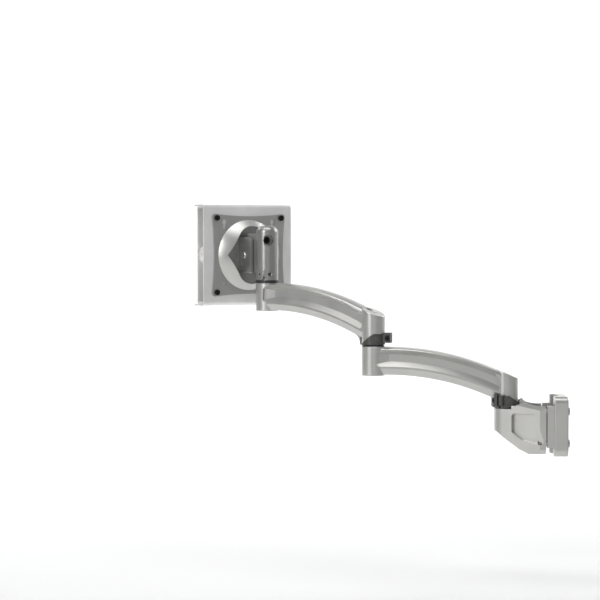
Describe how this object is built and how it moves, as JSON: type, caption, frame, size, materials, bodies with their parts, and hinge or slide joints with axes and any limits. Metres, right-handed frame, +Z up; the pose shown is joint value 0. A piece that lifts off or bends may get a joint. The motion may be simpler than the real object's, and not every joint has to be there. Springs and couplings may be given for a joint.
{
  "type": "monitor arm",
  "caption": "Pole-mounted monitor arm with cast links, swivel joints, tilting head and a quick-release plate for a display.",
  "frame": {"origin": "on the pole's axis, at the mid-height of the clamp body's jaw", "axes": "+Z up along the pole, +X from the pole to the rear jaw, so that the arm reaches towards -X and the monitor side is +Y"},
  "size_m": [0.4874, 0.2345, 0.325],
  "materials": {
    "silver_paint": "satin silver powder coat on cast aluminium",
    "head_metal": "darker satin metallic",
    "faceplate_grey": "satin grey",
    "bracket_silver": "light silver on sheet steel",
    "charcoal_metal": "charcoal, semi-matte",
    "charcoal_plastic": "black nylon",
    "bearing_plastic": "acetal bearing plastic",
    "post_steel": "turned steel",
    "screw_steel": "zinc-plated steel",
    "black_screw": "black oxide steel",
    "knob_white": "pale nickel-plated knob"
  },
  "bodies": {
    "clamp": {"clamp_body": "silver_paint", "clamp_rear_jaw": "silver_paint", "clamp_bolts": "screw_steel", "clamp_post": "post_steel", "clamp_post_screw": "screw_steel", "clamp_thrust_washer": "bearing_plastic"},
    "lower_link": {"lower_arm": "silver_paint", "lower_bushing": "bearing_plastic", "lower_collar": "charcoal_metal", "lower_collar_screw": "black_screw", "lower_friction_disc": "bearing_plastic", "lower_tension_screw": "black_screw", "elbow_post": "post_steel", "elbow_post_screw": "screw_steel", "elbow_thrust_washer": "bearing_plastic"},
    "upper_link": {"upper_arm": "silver_paint", "upper_bushing": "bearing_plastic", "upper_collar": "charcoal_metal", "upper_collar_screw": "black_screw", "upper_friction_disc": "bearing_plastic", "upper_tension_screw": "black_screw", "head_post": "post_steel", "head_post_screw": "screw_steel", "head_thrust_ring": "charcoal_plastic"},
    "knuckle": {"head_knuckle": "head_metal", "head_bushing": "bearing_plastic", "head_swivel_screw": "black_screw", "tilt_screw": "black_screw"},
    "tilt_head": {"tilt_yoke": "head_metal", "tilt_pin": "post_steel", "tilt_washers": "bearing_plastic", "head_dome": "silver_paint", "pivot_wave_washer": "post_steel", "pivot_retainer": "post_steel", "pivot_bolt": "screw_steel"},
    "mount_plate": {"faceplate": "faceplate_grey", "friction_ring": "bearing_plastic", "faceplate_screws": "black_screw", "bracket_channel": "bracket_silver", "bracket_nuts": "screw_steel", "monitor_plate": "bracket_silver"},
    "thumb_knob": {"thumbscrew": "knob_white"}
  },
  "joints": [
    {"name": "lower_arm_swivel", "type": "hinge", "parent": "clamp", "child": "lower_link", "pos_m": [-0.044, 0, 0.0272], "axis": [0, 0, 1], "range_deg": [-100, 55]},
    {"name": "upper_arm_swivel", "type": "hinge", "parent": "lower_link", "child": "upper_link", "pos_m": [-0.21596, -0.0039, 0.1072], "axis": [0, 0, 1], "range_deg": [-110, 180]},
    {"name": "head_swivel", "type": "hinge", "parent": "upper_link", "child": "knuckle", "pos_m": [-0.3544, 0.09817, 0.1872], "axis": [0, 0, 1], "range_deg": [-65, 110]},
    {"name": "head_tilt", "type": "hinge", "parent": "knuckle", "child": "tilt_head", "pos_m": [-0.37012, 0.12372, 0.224], "axis": [0.8517, 0.524, 0], "range_deg": [-20, 20]},
    {"name": "plate_rotation", "type": "hinge", "parent": "tilt_head", "child": "mount_plate", "pos_m": [-0.37955, 0.13905, 0.224], "axis": [-0.524, 0.8517, 0], "range_deg": [-90, 90]},
    {"name": "thumbscrew_turn", "type": "hinge", "parent": "mount_plate", "child": "thumb_knob", "pos_m": [-0.43904, 0.12124, 0.224], "axis": [-0.8517, -0.524, 0], "continuous": true}
  ]
}
